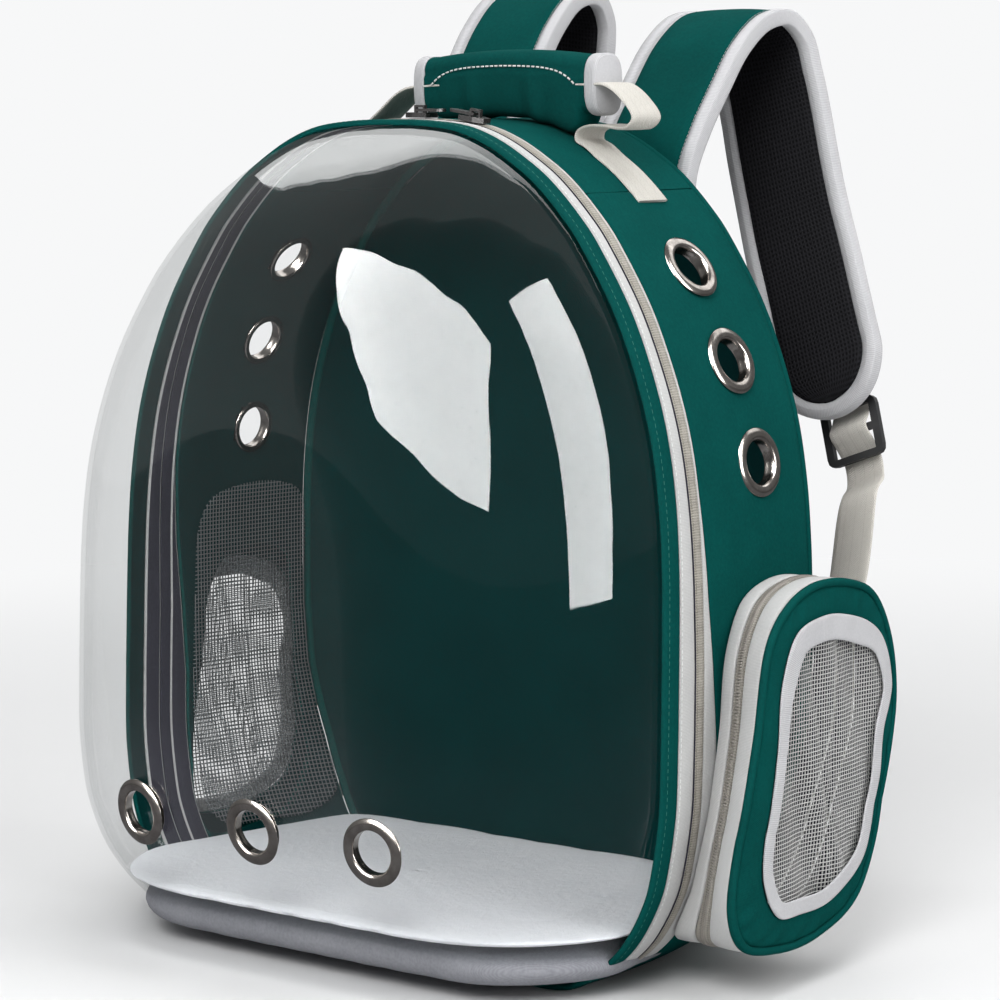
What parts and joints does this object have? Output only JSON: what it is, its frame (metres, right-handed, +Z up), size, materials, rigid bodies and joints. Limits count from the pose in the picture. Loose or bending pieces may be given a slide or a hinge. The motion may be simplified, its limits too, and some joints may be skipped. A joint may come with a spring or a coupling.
{
  "type": "pet carrier backpack",
  "caption": "Soft green pet carrier backpack with a clear bubble front, side net pockets, top handle and padded shoulder straps.",
  "frame": {"origin": "centre of the flat underside of the base panel, on the surface the pack stands on", "axes": "+Z up towards the handle, -Y towards the clear front, +Y towards the wearer's back and the straps, +X to the right seen from the front"},
  "size_m": [0.4129, 0.3383, 0.4885],
  "materials": {
    "green_cloth": "matte woven coated cloth",
    "grey_tape": "matte woven tape",
    "zip_coil": "fine ribbed coil",
    "dark_metal": "polished gunmetal",
    "zip_metal": "satin black",
    "clear_plastic": "clear polished plastic",
    "pale_webbing": "matte herringbone webbing",
    "grey_net": "open square net",
    "black_net": "dense air mesh",
    "black_plastic": "satin moulded",
    "pale_plush": "short soft pile",
    "grey_cushion": "matte woven"
  },
  "bodies": {
    "pack": {"dome": "clear_plastic", "dome_grommet_left": "dark_metal", "dome_grommet_middle": "dark_metal", "dome_grommet_right": "dark_metal", "dome_frame": "green_cloth", "zip_tape_front": "grey_tape", "zip_teeth": "zip_coil", "zip_tape_rear": "grey_tape", "base_panel": "green_cloth", "top_panel": "green_cloth", "side_panel_left": "green_cloth", "side_eyelet_left_top": "dark_metal", "side_eyelet_left_middle": "dark_metal", "side_eyelet_left_low": "dark_metal", "side_panel_right": "green_cloth", "side_eyelet_right_top": "dark_metal", "side_eyelet_right_middle": "dark_metal", "side_eyelet_right_low": "dark_metal", "back_panel": "green_cloth", "back_piping": "green_cloth", "pocket_tape_inner_left": "grey_tape", "pocket_zip_left": "zip_coil", "pocket_tape_outer_left": "grey_tape", "pocket_face_left": "green_cloth", "pocket_piping_left": "green_cloth", "window_binding_left": "grey_tape", "window_mesh_left": "grey_net", "inner_mesh_left": "black_net", "pocket_tape_inner_right": "grey_tape", "pocket_zip_right": "zip_coil", "pocket_tape_outer_right": "grey_tape", "pocket_face_right": "green_cloth", "pocket_piping_right": "green_cloth", "window_binding_right": "grey_tape", "window_mesh_right": "grey_net", "inner_mesh_right": "black_net", "mat": "pale_plush", "base_cushion": "grey_cushion", "handle_grip": "green_cloth", "handle_binding_left": "grey_tape", "handle_binding_right": "grey_tape", "handle_webbing": "pale_webbing", "strap_fabric_left": "green_cloth", "strap_mesh_left": "black_net", "strap_binding_left": "grey_tape", "strap_buckle_left": "black_plastic", "strap_webbing_left": "pale_webbing", "strap_fabric_right": "green_cloth", "strap_mesh_right": "black_net", "strap_binding_right": "grey_tape", "strap_buckle_right": "black_plastic", "strap_webbing_right": "pale_webbing", "zip_slider_left": "zip_metal", "zip_slider_right": "zip_metal", "zip_slider_pocket_left": "zip_metal", "zip_slider_pocket_right": "zip_metal"},
    "pull_front_left": {"zip_pull_left": "zip_metal"},
    "pull_front_right": {"zip_pull_right": "zip_metal"},
    "pull_pocket_left": {"zip_pull_pocket_left": "zip_metal"},
    "pull_pocket_right": {"zip_pull_pocket_right": "zip_metal"}
  },
  "joints": [
    {"name": "pull_front_left_hinge", "type": "hinge", "parent": "pack", "child": "pull_front_left", "pos_m": [0.00406, -0.03112, 0.42464], "axis": [0, -1, 0], "range_deg": [0, 170]},
    {"name": "pull_front_right_hinge", "type": "hinge", "parent": "pack", "child": "pull_front_right", "pos_m": [0.04058, -0.0312, 0.42248], "axis": [0, 1, 0], "range_deg": [0, 170]},
    {"name": "pull_pocket_left_hinge", "type": "hinge", "parent": "pack", "child": "pull_pocket_left", "pos_m": [-0.16957, 0.0752, 0.09785], "axis": [0.7785, -0.5808, 0.2377], "range_deg": [0, 170]},
    {"name": "pull_pocket_right_hinge", "type": "hinge", "parent": "pack", "child": "pull_pocket_right", "pos_m": [0.17786, 0.08111, 0.0982], "axis": [0.8035, 0.554, -0.2179], "range_deg": [0, 170]}
  ]
}
